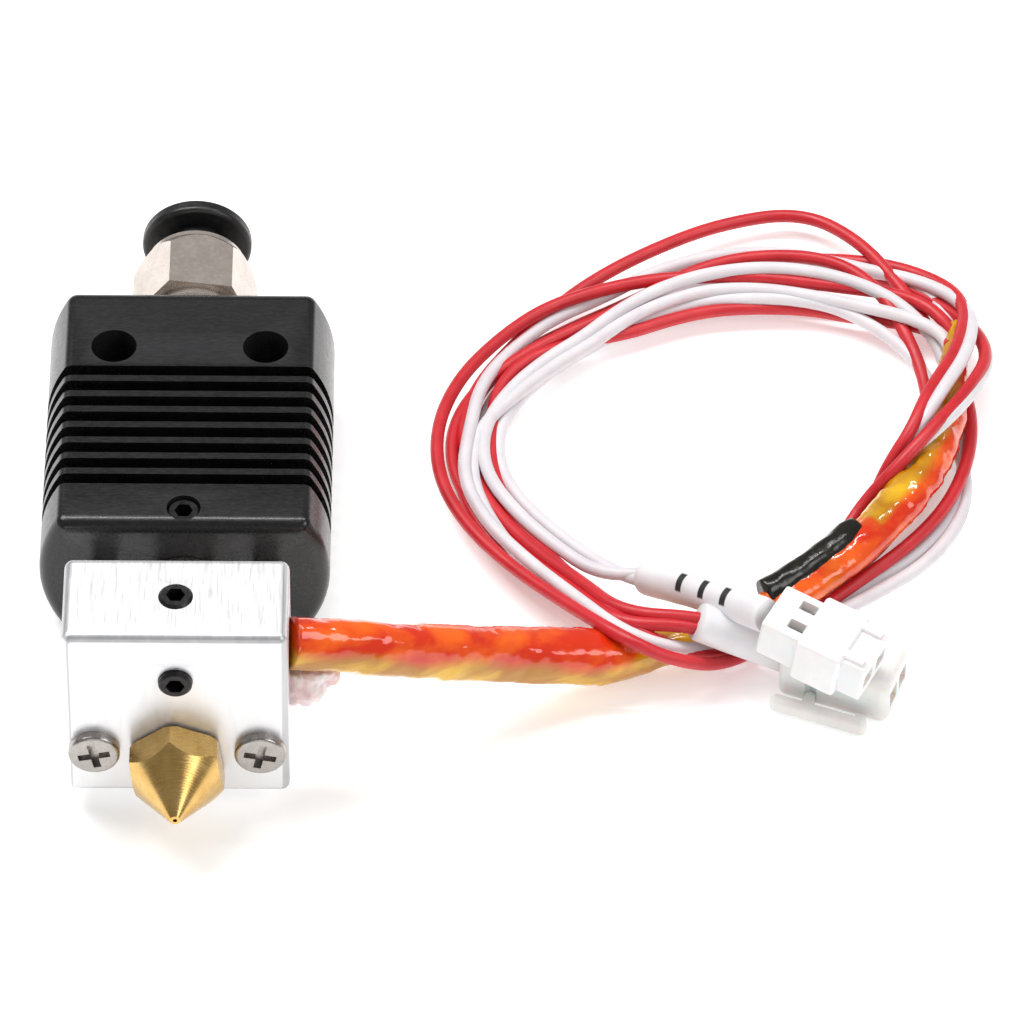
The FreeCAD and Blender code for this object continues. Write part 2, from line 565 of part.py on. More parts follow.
def thermistor_plug_housing():
    """A two-way housing with a wider skirt round its middle, two ribs and two windows on top."""
    length, width, height = SENSOR_PLUG_SIZE
    skirt_start, skirt_share, side_step, height_step = SENSOR_PLUG_SKIRT
    body = Part.makeBox(length, width - 2 * side_step, height - 2 * height_step,
                        Vector(0, side_step - width / 2, height_step))
    skirt = Part.makeBox(length * skirt_share, width, height,
                         Vector(length * skirt_start, -width / 2, 0))
    body = body.makeFillet(height_step * 0.8, body.Edges).fuse(skirt.makeFillet(height_step, skirt.Edges))
    rib_width, rib_height, rib_y = SENSOR_PLUG_RIB
    window_length, window_width = SENSOR_PLUG_WINDOW
    cuts = []
    for side in (-1, 1):
        rib_start = Vector(length * 0.45, side * rib_y - rib_width / 2, height - rib_height)
        body = body.fuse(Part.makeBox(length * 0.5, rib_width, rib_height, rib_start))
        cuts.append(plug_cavity(length, height / 2, side))
        window_start = Vector(length * 0.2, side * PIN_PITCH / 2 - window_width / 2, height / 2)
        cuts.append(Part.makeBox(window_length, window_width, height, window_start))
    return placed(body.cut(cuts), SENSOR_PLUG_REAR, SENSOR_PLUG_TURN, SENSOR_PLUG_DIP)


def main():
    os.makedirs("parts", exist_ok=True)
    save("heat_sink", heat_sink())
    save("heat_sink_set_screw", heat_sink_set_screw())
    save("heat_break", heat_break())
    save("ptfe_liner", ptfe_liner())
    save("heater_block", heater_block())
    save("block_set_screws", block_set_screws())
    save("block_screws", Part.makeCompound([block_screw(side) for side in (-1, 1)]))
    save("nozzle", nozzle())
    save("heater_cartridge", heater_cartridge())
    save("thermistor_bead", thermistor_bead())
    save("fitting_body", fitting_body())
    save("fitting_seal", fitting_seal())
    save("fitting_grip_ring", fitting_grip_ring())
    save("fitting_retainer", fitting_retainer())
    save("release_collar", release_collar())
    bundle = tube_along("lead_bundle", BUNDLE_ROUTE, BUNDLE_RADIUS)
    save("lead_bundle", bundle)
    save("bundle_sleeve", bundle_sleeve(bundle))
    save("thermistor_tail", tube_along("thermistor_tail", SENSOR_TAIL_ROUTE, SENSOR_TAIL_RADIUS))
    save("wire_coil", wire_coil())
    save("thermistor_sleeve", tube_along("thermistor_sleeve", SENSOR_SLEEVE_ROUTE, SENSOR_SLEEVE_RADIUS))
    save("heater_sleeve", tube_along("heater_sleeve", HEATER_SLEEVE_ROUTE, HEATER_SLEEVE_RADIUS))
    save("heater_plug_housing", heater_plug_housing())
    save("heater_plug_latch", heater_plug_latch())
    save("heater_plug_contacts",
         crimp_contacts(HEATER_PLUG_SIZE, HEATER_PLUG_REAR, HEATER_PLUG_TURN))
    save("thermistor_plug_housing", thermistor_plug_housing())
    save("thermistor_plug_contacts",
         crimp_contacts(SENSOR_PLUG_SIZE, SENSOR_PLUG_REAR, SENSOR_PLUG_TURN, SENSOR_PLUG_DIP))


main()
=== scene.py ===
"""Hotend assembly with its taped leads, coiled wires and two plugs. Metres, in the CAD frame."""

import math

import bpy
from mathutils import Matrix, Vector, noise


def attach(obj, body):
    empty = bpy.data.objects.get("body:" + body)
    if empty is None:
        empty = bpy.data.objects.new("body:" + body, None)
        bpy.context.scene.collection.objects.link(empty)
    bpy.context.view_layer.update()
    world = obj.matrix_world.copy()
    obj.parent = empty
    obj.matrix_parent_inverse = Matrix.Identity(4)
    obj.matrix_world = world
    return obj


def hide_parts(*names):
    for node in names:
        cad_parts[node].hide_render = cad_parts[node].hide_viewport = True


MM = 0.001
BODY = "hotend"
TURN = 2 * math.pi

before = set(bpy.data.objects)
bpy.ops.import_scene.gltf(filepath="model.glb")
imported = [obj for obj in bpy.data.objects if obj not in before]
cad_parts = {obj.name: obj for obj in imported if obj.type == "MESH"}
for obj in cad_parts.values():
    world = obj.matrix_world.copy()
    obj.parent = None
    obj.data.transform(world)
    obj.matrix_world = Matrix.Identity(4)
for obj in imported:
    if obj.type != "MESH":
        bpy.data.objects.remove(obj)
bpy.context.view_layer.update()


# ---------------------------------------------------------------- camera, floor, lights
def mm(points):
    """Points given in millimetres, as vectors in metres."""
    return [Vector(point) * MM for point in points]


CAMERA_LENS = 305.15
CAMERA_PLACE = Vector((0.026729, -0.569145, 0.578347))
CAMERA_RIGHT = Vector((0.999974, 0.001717, 0.007065))
CAMERA_UP = Vector((-0.006154, 0.717363, 0.696672))
CAMERA_BACK = Vector((-0.003872, -0.696697, 0.717355))


def add_camera():
    """A long lens in front of the hotend, looking down at it."""
    data = bpy.data.cameras.new("camera")
    data.lens = CAMERA_LENS
    data.sensor_width = 36.0
    data.clip_start = 0.05
    data.clip_end = 20.0
    camera = bpy.data.objects.new("camera", data)
    axes = zip(CAMERA_RIGHT, CAMERA_UP, CAMERA_BACK, CAMERA_PLACE)
    camera.matrix_world = Matrix([*axes, (0, 0, 0, 1)])
    bpy.context.scene.collection.objects.link(camera)
    bpy.context.scene.camera = camera


WORLD_STRENGTH = 0.3
LIGHT_AIM = Vector((0.03, -0.01, 0.0))
# each light's name, place, width and height in metres, and power in watts
LIGHTS = [
    ("key", (-0.25, 0.15, 0.6), (0.3, 0.4), 2.5),
    ("strip", (0.04, 0.12, 0.45), (0.5, 0.015), 1.2),
    ("fill", (0.45, -0.25, 0.45), (0.3, 0.3), 1.1),
    ("front", (0.02, -0.55, 0.18), (0.4, 0.1), 0.3),
]


def add_light(name, place, size, power):
    """A white rectangular light turned towards the middle of the object."""
    data = bpy.data.lights.new(name, "AREA")
    data.shape = "RECTANGLE"
    data.size, data.size_y = size
    data.energy = power
    light = bpy.data.objects.new(name, data)
    light.location = place
    light.rotation_euler = (LIGHT_AIM - Vector(place)).to_track_quat("-Z", "Y").to_euler()
    bpy.context.scene.collection.objects.link(light)


def add_studio():
    """A dim white world and four soft lights, with no film curve."""
    bpy.context.scene.view_settings.view_transform = "Standard"
    world = bpy.data.worlds.new("studio")
    world.use_nodes = True
    background = world.node_tree.nodes["Background"]
    background.inputs["Color"].default_value = (1, 1, 1, 1)
    background.inputs["Strength"].default_value = WORLD_STRENGTH
    bpy.context.scene.world = world
    for row in LIGHTS:
        add_light(*row)


# ---------------------------------------------------------------- materials
class Shader:
    """A Principled material whose colour, roughness and bump come from nodes."""

    def __init__(self, name, colour, rough=0.5, metal=0.0, **sockets):
        self.material = bpy.data.materials.new(name)
        self.material.use_nodes = True
        self.nodes = self.material.node_tree.nodes
        self.links = self.material.node_tree.links
        self.main = self.nodes["Principled BSDF"]
        self.colour = colour
        self.set("Base Color", (*colour, 1))
        self.set("Roughness", rough)
        self.set("Metallic", metal)
        for socket, value in sockets.items():
            self.set(socket.replace("_", " "), value)
        self.place = self.nodes.new("ShaderNodeTexCoord").outputs["Object"]
        self.height = None

    def set(self, socket, value):
        self.main.inputs[socket].default_value = value

    def node(self, kind, **inputs):
        made = self.nodes.new("ShaderNode" + kind)
        for name, value in inputs.items():
            name = name.replace("_", " ")
            if isinstance(value, bpy.types.NodeSocket):
                self.links.new(value, made.inputs[name])
            else:
                made.inputs[name].default_value = value
        return made

    def stretched(self, stretch):
        """The object's coordinates, scaled differently along each axis."""
        return self.node("Mapping", Vector=self.place, Scale=stretch).outputs["Vector"]

    def noise(self, scale, stretch=(1, 1, 1), detail=4.0, rough=0.55, distortion=0.0):
        made = self.node("TexNoise", Vector=self.stretched(stretch), Scale=scale, Detail=detail,
                         Roughness=rough, Distortion=distortion)
        return made.outputs["Fac"]

    def wave(self, scale, direction, distortion=0.0):
        """Parallel bands across one axis, such as a lathe tool leaves."""
        made = self.node("TexWave", Vector=self.place, Scale=scale, Distortion=distortion)
        made.bands_direction = direction
        return made.outputs["Fac"]

    def range(self, value, low, high, start=0.3, end=0.7):
        """A value spread from low to high while the input goes from start to end."""
        made = self.node("MapRange", Value=value, From_Min=start, From_Max=end)
        made.inputs["To Min"].default_value = low
        made.inputs["To Max"].default_value = high
        return made.outputs["Result"]

    def blend(self, share, first, second):
        """Mixes two colours, each a colour or a socket, by a share."""
        made = self.nodes.new("ShaderNodeMix")
        made.data_type = "RGBA"
        self.links.new(share, made.inputs[0])
        for index, value in ((6, first), (7, second)):
            if isinstance(value, bpy.types.NodeSocket):
                self.links.new(value, made.inputs[index])
            else:
                made.inputs[index].default_value = (*value, 1)
        return made.outputs[2]

    def tint(self, value):
        self.links.new(value, self.main.inputs["Base Color"])
        return self

    def vary(self, scale, other, stretch=(1, 1, 1), start=0.35, end=0.7):
        """Soft patches of a second colour."""
        share = self.range(self.noise(scale, stretch), 0.0, 1.0, start, end)
        return self.tint(self.blend(share, self.colour, other))

    def roughen(self, scale, low, high, stretch=(1, 1, 1)):
        share = self.range(self.noise(scale, stretch), low, high)
        self.links.new(share, self.main.inputs["Roughness"])
        return self

    def bump(self, value, strength, distance):
        made = self.node("Bump", Height=value, Strength=strength, Distance=distance)
        if self.height is not None:
            self.links.new(self.height, made.inputs["Normal"])
        self.height = made.outputs["Normal"]
        self.links.new(self.height, self.main.inputs["Normal"])
        return self


def painted_edge_highlight(shader, colour, low=0.52, high=0.62):
    """Painted highlight: a paler colour on convex edges, on top of the material's own colour."""
    pointed = shader.nodes.new("ShaderNodeNewGeometry").outputs["Pointiness"]
    # the sharpest edges take the paler colour, a painted highlight
    share = shader.range(pointed, 0.0, 1.0, low, high)
    under = shader.main.inputs["Base Color"]
    first = under.links[0].from_socket if under.is_linked else shader.colour
    return shader.tint(shader.blend(share, first, colour))


def make_materials():
    """Every material by name."""
    made = {}

    black = Shader("black_anodised", (0.004, 0.004, 0.0045), 0.26, 0.0, Specular_IOR_Level=0.5)
    black.vary(900, (0.007, 0.007, 0.0075)).roughen(1400, 0.2, 0.34, (1, 4, 1))
    black.bump(black.noise(5200), 0.12, 0.00004)
    black.bump(black.noise(2600, (0.15, 5, 1)), 0.1, 0.00004)
    # paler edges on the heat sink: painted highlight
    made["black_anodised"] = painted_edge_highlight(black, (0.03, 0.03, 0.032), 0.55, 0.7)

    oxide = Shader("black_oxide", (0.012, 0.011, 0.012), 0.32, 0.6)
    oxide.vary(1500, (0.03, 0.028, 0.03)).roughen(2500, 0.25, 0.45)
    oxide.bump(oxide.noise(6000), 0.2, 0.00004)
    made["black_oxide"] = oxide

    steel = Shader("steel", (0.42, 0.39, 0.37), 0.3, 1.0)
    steel.vary(700, (0.34, 0.32, 0.30)).roughen(2600, 0.2, 0.4)
    steel.bump(steel.noise(3500, (1, 0.3, 1)), 0.12, 0.00005)
    made["steel"] = steel

    block = Shader("aluminium", (0.56, 0.56, 0.57), 0.36, 0.72)
    block.vary(420, (0.48, 0.48, 0.49), (2, 0.15, 0.15)).roughen(1600, 0.3, 0.48, (3, 0.2, 0.2))
    block.bump(block.noise(3000, (3, 0.06, 0.06), 6), 0.14, 0.00004)
    block.bump(block.noise(900, (1, 0.6, 0.6)), 0.1, 0.0001)
    # paler edges on the block: painted highlight
    made["aluminium"] = painted_edge_highlight(block, (0.8, 0.8, 0.81), 0.53, 0.6)

    brass = Shader("brass", (0.70, 0.46, 0.17), 0.24, 1.0)
    brass.vary(900, (0.58, 0.36, 0.11), (1, 0.3, 1)).roughen(2000, 0.2, 0.32, (0.3, 5, 0.3))
    brass.bump(brass.wave(1500, "Y", 1.5), 0.04, 0.00004)
    brass.bump(brass.noise(4000, (0.3, 4, 0.3)), 0.08, 0.00004)
    made["brass"] = brass

    nickel = Shader("nickel", (0.62, 0.55, 0.50), 0.26, 0.75)
    nickel.vary(500, (0.53, 0.47, 0.42)).roughen(2200, 0.14, 0.3)
    nickel.bump(nickel.noise(2600, (0.5, 2, 0.5)), 0.12, 0.00005)
    made["nickel"] = nickel

    collar = Shader("black_plastic", (0.004, 0.004, 0.004), 0.32)
    collar.vary(900, (0.008, 0.008, 0.009)).roughen(1800, 0.28, 0.5)
    collar.bump(collar.noise(4200), 0.16, 0.00005)
    # paler edges on the collar: painted highlight
    made["black_plastic"] = painted_edge_highlight(collar, (0.03, 0.03, 0.03), 0.56, 0.7)

    seal = Shader("seal_rubber", (0.02, 0.02, 0.02), 0.6).roughen(2000, 0.5, 0.75)
    made["seal_rubber"] = seal.bump(seal.noise(3000), 0.15, 0.00005)

    liner = Shader("ptfe", (0.86, 0.86, 0.85), 0.4, Subsurface_Weight=0.2, Subsurface_Scale=0.001)
    made["ptfe"] = liner.vary(800, (0.8, 0.8, 0.79)).bump(liner.noise(3000), 0.08, 0.00005)

    glass = Shader("glass", (0.75, 0.42, 0.16), 0.08, Transmission_Weight=0.5)
    made["glass"] = glass.vary(2000, (0.6, 0.3, 0.1)).roughen(2600, 0.05, 0.2)

    fibre = Shader("glass_fibre", (0.90, 0.80, 0.80), 0.75, Subsurface_Weight=0.25,
                   Subsurface_Scale=0.0015)
    fibre.vary(520, (0.86, 0.58, 0.58), start=0.4, end=0.62)
    fibre.bump(fibre.noise(1500, (1, 3, 1), 8, 0.7), 0.6, 0.0002)
    made["glass_fibre"] = fibre

    red = Shader("wire_insulation", (0.60, 0.020, 0.028), 0.42, Subsurface_Weight=0.08,
                 Subsurface_Scale=0.0006)
    red.vary(260, (0.50, 0.012, 0.020)).roughen(900, 0.34, 0.52)
    red.bump(red.noise(1800, detail=6), 0.2, 0.00006)
    made["wire_red"] = red

    white = Shader("wire_white", (0.74, 0.71, 0.73), 0.44, Subsurface_Weight=0.15,
                   Subsurface_Scale=0.0008)
    white.vary(240, (0.66, 0.62, 0.65)).roughen(900, 0.36, 0.55)
    white.bump(white.noise(1800, detail=6), 0.2, 0.00006)
    made["wire_white"] = white

    sleeve = Shader("white_sleeve", (0.80, 0.79, 0.80), 0.4, Subsurface_Weight=0.12,
                    Subsurface_Scale=0.0008)
    sleeve.vary(300, (0.73, 0.71, 0.73)).roughen(700, 0.32, 0.5)
    sleeve.bump(sleeve.noise(700, detail=5), 0.22, 0.00015)
    mark = sleeve.nodes.new("ShaderNodeAttribute")
    mark.attribute_name = "mark"
    plain = sleeve.main.inputs["Base Color"].links[0].from_socket
    sleeve.tint(sleeve.blend(mark.outputs["Fac"], plain, (0.02, 0.02, 0.02)))
    made["white_sleeve"] = sleeve

    nylon = Shader("natural_nylon", (0.82, 0.82, 0.80), 0.34, Subsurface_Weight=0.45,
                   Subsurface_Scale=0.0025)
    nylon.vary(350, (0.77, 0.77, 0.75)).roughen(1200, 0.26, 0.42)
    nylon.bump(nylon.noise(1500), 0.14, 0.00008)
    made["natural_nylon"] = nylon

    plug = Shader("white_plastic", (0.88, 0.88, 0.88), 0.34, Subsurface_Weight=0.3,
                  Subsurface_Scale=0.0015)
    plug.vary(350, (0.83, 0.83, 0.83)).roughen(1200, 0.27, 0.44)
    plug.bump(plug.noise(1600), 0.14, 0.00008)
    made["white_plastic"] = plug

    contact = Shader("contact_metal", (0.70, 0.62, 0.48), 0.25, 1.0)
    contact.vary(1200, (0.6, 0.5, 0.36)).roughen(2400, 0.2, 0.4)
    made["contact_metal"] = contact.bump(contact.noise(4000), 0.15, 0.00004)

    dark = Shader("black_sleeve", (0.004, 0.004, 0.003), 0.2)
    dark.vary(500, (0.016, 0.012, 0.006)).roughen(900, 0.12, 0.3)
    made["black_sleeve"] = dark.bump(dark.noise(900, detail=6), 0.35, 0.0002)

    made["amber_tape"] = tape_material()
    floor = Shader("floor", (0.94, 0.94, 0.94), 0.8, Emission_Color=(1, 1, 1, 1),
                   Emission_Strength=0.36)
    made["floor"] = floor.vary(6, (0.935, 0.935, 0.935))
    return {name: shader.material for name, shader in made.items()}


def tape_material():
    """Glossy amber film over red leads: red where it lies tight, amber where it folds."""
    tape = Shader("amber_tape", (0.60, 0.10, 0.012), 0.14, Coat_Weight=0.45, Coat_Roughness=0.05)
    lead = tape.nodes.new("ShaderNodeAttribute")
    lead.attribute_name = "lead"
    folds = tape.range(tape.noise(420, (0.3, 0.6, 1), 4, 0.5, 0.3), 0.0, 1.0, 0.42, 0.66)
    amber = tape.blend(folds, (0.46, 0.19, 0.002), (0.78, 0.44, 0.015))
    deep = tape.blend(folds, (0.66, 0.028, 0.003), (0.90, 0.13, 0.006))
    tape.tint(tape.blend(lead.outputs["Fac"], amber, deep))
    tape.roughen(900, 0.07, 0.18)
    tape.bump(tape.noise(420, (0.4, 0.8, 1), 3, 0.5, 0.6), 0.3, 0.0004)
    tape.bump(tape.noise(1600, (0.5, 0.8, 1), 2, 0.5, 0.4), 0.12, 0.00008)
    return tape


# ---------------------------------------------------------------- cords
WIRE_DIAMETER = 1.25 * MM
COIL_CENTRE = Vector((48.5, 2.0, 0.0)) * MM
# The turns' radii were chosen in the camera's view, for a wire at LAYER_HEIGHT. From
# there a higher point looks further away, so it is moved towards -Y by LAYER_LEAN of its extra
# height, and a lower point the other way.
LAYER_HEIGHT = 1.5
LAYER_LEAN = 0.93

BUNDLE_ROUTE = mm([
    (10.05, -39.8, 16.4), (14.7, -38.8, 15.0), (19.3, -37.2, 12.8), (24.0, -35.1, 10.3),
    (28.5, -32.8, 7.7), (33.2, -30.9, 5.5), (38.2, -29.6, 3.9), (43.3, -27.7, 2.95),
    (48.8, -25.2, 2.7), (53.8, -22.1, 2.9), (58.3, -18.6, 3.3), (62.2, -14.5, 3.6),
    (65.7, -9.8, 3.8), (68.6, -4.4, 3.8), (70.5, 1.8, 3.6), (71.3, 8.6, 3.3),
    (71.6, 14.4, 3.0),
])
SENSOR_SLEEVE_ROUTE = mm([(42.0, -19.9, 4.3), (47.4, -24.2, 7.0), (52.85, -29.4, 9.3)])
HEATER_SLEEVE_ROUTE = mm([(46.7, -27.9, 7.0), (50.9, -28.0, 4.9), (54.98, -27.8, 2.6)])
SENSOR_SLEEVE_RADIUS = 1.6
HEATER_SLEEVE_RADIUS = 1.8

# Each wire's turns about the coil's centre: angle in degrees, radius and height in millimetres.
RED_ONE = [
    (29, 26.6, 3.0), (42, 26.6, 3.0), (60, 22.2, 3.4), (75, 20.9, 3.6), (90, 20.3, 3.6),
    (105, 20.6, 3.4), (120, 21.2, 3.2), (135, 22.4, 3.0), (150, 23.2, 3.0), (165, 24.6, 3.0),
    (180, 25.8, 3.0), (195, 26.4, 3.0), (210, 26.2, 3.2), (225, 26.0, 3.6), (240, 26.6, 5.2),
    (252, 28.2, 7.4), (262, 30.0, 5.6), (272, 30.4, 2.2), (286, 26.0, 0.75), (300, 20.4, 0.7),
    (315, 17.6, 1.0), (330, 16.8, 3.0), (345, 17.8, 5.8), (0, 20.2, 7.2), (12, 24.4, 6.2),
    (22, 28.6, 4.0), (36, 28.0, 2.2), (52, 26.4, 1.2), (68, 24.4, 0.7), (84, 22.2, 0.7),
    (100, 20.0, 0.7), (116, 18.4, 0.7), (132, 18.6, 0.7), (150, 20.4, 0.7), (168, 22.6, 0.7),
    (184, 23.8, 0.7), (200, 24.4, 0.7), (216, 24.8, 0.7), (232, 25.8, 0.7), (248, 27.4, 0.7),
    (262, 28.8, 0.7), (276, 28.0, 0.7), (290, 25.4, 0.7), (304, 23.6, 1.6), (320, 23.4, 1.9),
    (335, 23.8, 2.0), (350, 24.2, 2.0), (5, 24.6, 1.4), (18, 24.4, 1.0), (30, 24.6, 1.4),
    (45, 26.2, 2.4), (60, 29.2, 2.6), (73, 30.8, 2.0), (88, 27.6, 2.2), (104, 24.4, 2.6),
    (120, 22.6, 2.4), (136, 21.6, 2.0), (150, 21.6, 1.9), (165, 22.6, 1.9), (180, 23.6, 1.9),
    (195, 23.2, 1.9), (210, 23.0, 2.2), (225, 23.0, 3.0), (238, 23.4, 4.6), (250, 25.4, 6.8),
]
RED_TWO = [
    (29, 25.8, 2.4), (37, 23.6, 2.0), (47, 20.4, 1.8), (60, 18.6, 1.8), (75, 16.8, 2.0),
    (90, 15.8, 2.0), (105, 15.0, 2.0), (120, 14.8, 2.0), (135, 16.4, 2.4), (150, 19.4, 2.6),
    (165, 20.8, 2.2), (180, 20.6, 2.0), (195, 21.2, 2.0), (210, 22.0, 2.0), (225, 22.4, 2.4),
    (240, 24.0, 4.6), (252, 26.6, 6.8), (262, 28.6, 5.0), (272, 28.8, 1.2), (286, 26.4, 0.7),
    (300, 23.0, 0.7), (315, 20.0, 0.7), (330, 17.2, 1.6), (345, 16.9, 4.4), (0, 18.4, 6.8),
    (13, 20.4, 7.2), (25, 25.6, 6.0), (36, 30.2, 3.6), (50, 28.8, 2.0), (66, 25.4, 1.0),
    (82, 22.2, 0.7), (98, 19.8, 0.7), (114, 18.0, 0.7), (130, 18.2, 0.7), (148, 20.2, 0.7),
    (166, 22.4, 0.7), (184, 23.8, 0.7), (200, 25.0, 1.9), (216, 25.4, 1.9), (232, 26.2, 1.9),
    (248, 27.2, 1.9), (262, 28.0, 0.7), (276, 26.6, 0.7), (290, 24.2, 0.7), (305, 22.4, 0.7),
    (320, 21.4, 0.7), (335, 20.8, 0.7), (350, 20.6, 0.7), (5, 20.6, 0.75), (20, 21.4, 1.0),
    (35, 22.6, 2.2), (50, 24.8, 3.6), (63, 25.6, 4.2), (78, 23.8, 4.0), (92, 21.6, 3.6),
    (107, 19.0, 3.0), (122, 17.8, 2.8), (136, 18.4, 2.6), (150, 20.0, 2.2), (165, 22.4, 1.9),
    (180, 24.4, 1.9), (195, 25.0, 1.9), (210, 24.4, 2.0), (225, 24.2, 2.6), (238, 24.6, 4.2),
    (250, 26.8, 6.8),
]
WHITE_ONE = [
    (29, 26.6, 2.2), (44, 28.4, 2.0), (60, 25.6, 2.4), (75, 24.8, 2.6), (90, 23.2, 2.6),
    (105, 21.6, 2.2), (120, 20.2, 2.0), (135, 20.8, 2.0), (150, 21.4, 2.0), (165, 22.4, 2.6),
    (180, 22.6, 3.2), (195, 24.2, 3.2), (210, 24.4, 3.2), (225, 24.4, 3.8), (240, 25.4, 5.2),
    (252, 27.6, 7.0), (262, 28.6, 5.2), (272, 28.0, 1.4), (286, 25.2, 0.7), (300, 21.6, 0.7),
    (315, 18.6, 0.7), (330, 17.2, 1.4), (345, 17.4, 4.4), (0, 20.8, 7.0), (12, 25.2, 5.6),
    (22, 28.6, 3.2), (35, 28.4, 2.2), (50, 27.0, 1.4), (66, 24.4, 0.7), (82, 21.4, 0.7),
    (98, 19.0, 0.7), (114, 17.4, 0.7), (130, 17.4, 0.7), (148, 18.8, 0.7), (166, 20.8, 0.7),
    (184, 22.2, 0.7), (200, 23.0, 0.7), (216, 23.4, 0.7), (232, 24.4, 0.7), (248, 26.2, 0.7),
    (262, 27.6, 0.7), (276, 27.0, 0.7), (290, 25.4, 0.7), (305, 24.2, 0.7), (320, 24.8, 0.7),
    (335, 24.8, 0.7), (350, 24.0, 0.7), (5, 23.4, 0.7), (18, 23.6, 0.9), (30, 24.6, 2.0),
    (45, 24.8, 3.4), (60, 23.8, 4.2), (75, 22.4, 4.4), (90, 20.8, 4.2), (105, 19.2, 3.8),
    (120, 17.8, 3.4), (135, 17.0, 3.2), (150, 18.0, 3.0), (165, 19.6, 2.8), (180, 21.4, 2.8),
    (195, 22.0, 2.8), (210, 21.4, 3.0), (225, 21.2, 3.4), (240, 21.8, 4.0),
]
WHITE_TWO = [
    (29, 25.6, 3.2), (38, 24.2, 3.4), (50, 21.6, 3.4), (62, 20.2, 3.2), (75, 19.4, 3.2),
    (90, 18.6, 3.2), (105, 17.4, 3.0), (120, 16.4, 3.0), (135, 15.8, 3.0), (150, 16.8, 3.0),
    (165, 18.6, 2.8), (180, 21.8, 2.8), (195, 23.4, 2.6), (210, 24.0, 2.6), (225, 24.8, 3.0),
    (240, 25.6, 4.0), (252, 27.2, 5.8), (262, 28.8, 4.0), (272, 28.6, 0.7), (286, 26.8, 0.7),
    (300, 23.4, 0.7), (315, 20.0, 0.7), (330, 17.4, 0.8), (345, 17.2, 3.2), (0, 19.0, 6.4),
    (13, 21.8, 7.4), (24, 26.6, 6.0), (34, 29.8, 3.8), (48, 28.0, 2.6), (64, 24.2, 1.2),
    (80, 20.8, 0.7), (96, 17.8, 0.7), (112, 16.0, 0.7), (128, 15.8, 0.7), (146, 17.2, 0.7),
    (164, 19.4, 0.7), (182, 21.2, 0.7), (200, 22.0, 0.7), (216, 22.4, 0.7), (232, 23.2, 0.7),
    (248, 25.0, 0.7), (262, 26.6, 0.7), (276, 26.8, 0.7), (290, 26.4, 0.7), (305, 25.8, 0.7),
    (320, 26.2, 0.7), (335, 25.8, 0.7), (348, 24.2, 0.7), (0, 22.4, 0.7), (14, 21.8, 0.7),
    (30, 21.6, 1.4), (50, 20.6, 2.6), (63, 19.4, 2.8), (76, 18.0, 2.8), (90, 17.2, 2.4),
    (105, 16.2, 2.0), (120, 15.6, 1.9), (135, 15.6, 1.9), (150, 16.6, 1.9), (165, 18.2, 1.9),
    (180, 20.0, 1.9), (195, 20.6, 1.9), (210, 20.2, 2.2), (225, 20.0, 2.8), (240, 20.6, 3.6),
]


def coil_points(turns):
    """The points of a wire's turns, in metres."""
    points = []
    for degrees, radius, height in turns:
        angle = math.radians(degrees)
        lean = LAYER_LEAN * (height - LAYER_HEIGHT)
        points.append(COIL_CENTRE + Vector((radius * math.cos(angle),
                                            radius * math.sin(angle) - lean, height)) * MM)
    return points


def route_curve(name, points, radius=0.0, resolution=8):
    """An open NURBS curve through the given control points."""
    data = bpy.data.curves.new(name, "CURVE")
    data.dimensions = "3D"
    spline = data.splines.new("NURBS")
    spline.points.add(len(points) - 1)
    for point, place in zip(spline.points, points):
        point.co = (*place, 1)
    spline.order_u = 3
    spline.use_endpoint_u = True
    spline.resolution_u = resolution
    data.resolution_u = resolution
    data.bevel_depth = radius
    data.bevel_resolution = 5
    data.use_fill_caps = True
    return data


def route_line(name, points, resolution=24):
    """Points read from the route's own NURBS spline, with its ends."""
    curve = route_curve(name + "_route", points, 0.0, resolution)
    bare = bpy.data.objects.new(curve.name, curve)
    mesh = bpy.data.meshes.new_from_object(bare)
    line = [vertex.co.copy() for vertex in mesh.vertices]
    bpy.data.meshes.remove(mesh)
    bpy.data.curves.remove(bare.data)
    return line


def even_line(line, step):
    """The line again with points a step apart."""
    along = [0.0]
    for first, second in zip(line, line[1:]):
        along.append(along[-1] + (second - first).length)
    count = max(2, math.ceil(along[-1] / step) + 1)
    points, index = [], 0
    for place in range(count):
        target = along[-1] * place / (count - 1)
        while index < len(along) - 2 and along[index + 1] < target:
            index += 1
        share = (target - along[index]) / max(along[index + 1] - along[index], 1e-12)
        points.append(line[index].lerp(line[index + 1], min(1.0, share)))
    return points


def length_of(line):
    """The length of a line of points."""
    return sum((second - first).length for first, second in zip(line, line[1:]))


# how far from a tube's centre line its surface noise is read, in metres
NOISE_REACH = 0.002


def tube_mesh(name, line, radius_at, segments=40):
    """A closed tube along a line, with each vertex's share of the length and angle round it.

    radius_at(share, angle, place) gives the tube's radius in metres.
    """
    vertices, faces, shares = [], [], []
    side = Vector((0, 0, 1))
    for index, place in enumerate(line):
        ahead = (line[min(index + 1, len(line) - 1)] - line[max(index - 1, 0)]).normalized()
        side = (side - ahead * side.dot(ahead)).normalized()
        other = ahead.cross(side)
        share = index / (len(line) - 1)
        for step in range(segments):
            angle = TURN * step / segments
            out = side * math.cos(angle) + other * math.sin(angle)
            vertices.append(place + out * radius_at(share, angle, place + out * NOISE_REACH))
            shares.append((share, angle))
    for index in range(len(line) - 1):
        for step in range(segments):
            after = (step + 1) % segments
            low = index * segments
            faces.append((low + step, low + after, low + segments + after, low + segments + step))
    last = (len(line) - 1) * segments
    for start, ring in ((line[0], list(range(segments))[::-1]),
                        (line[-1], list(range(last, last + segments)))):
        centre = len(vertices)
        vertices.append(start)
        shares.append((0.0 if start is line[0] else 1.0, 0.0))
        for step in range(segments):
            faces.append((ring[step], ring[(step + 1) % segments], centre))
    mesh = bpy.data.meshes.new(name)
    mesh.from_pydata([tuple(vertex) for vertex in vertices], [], faces)
    mesh.update()
    mesh.shade_smooth()
    return mesh, shares


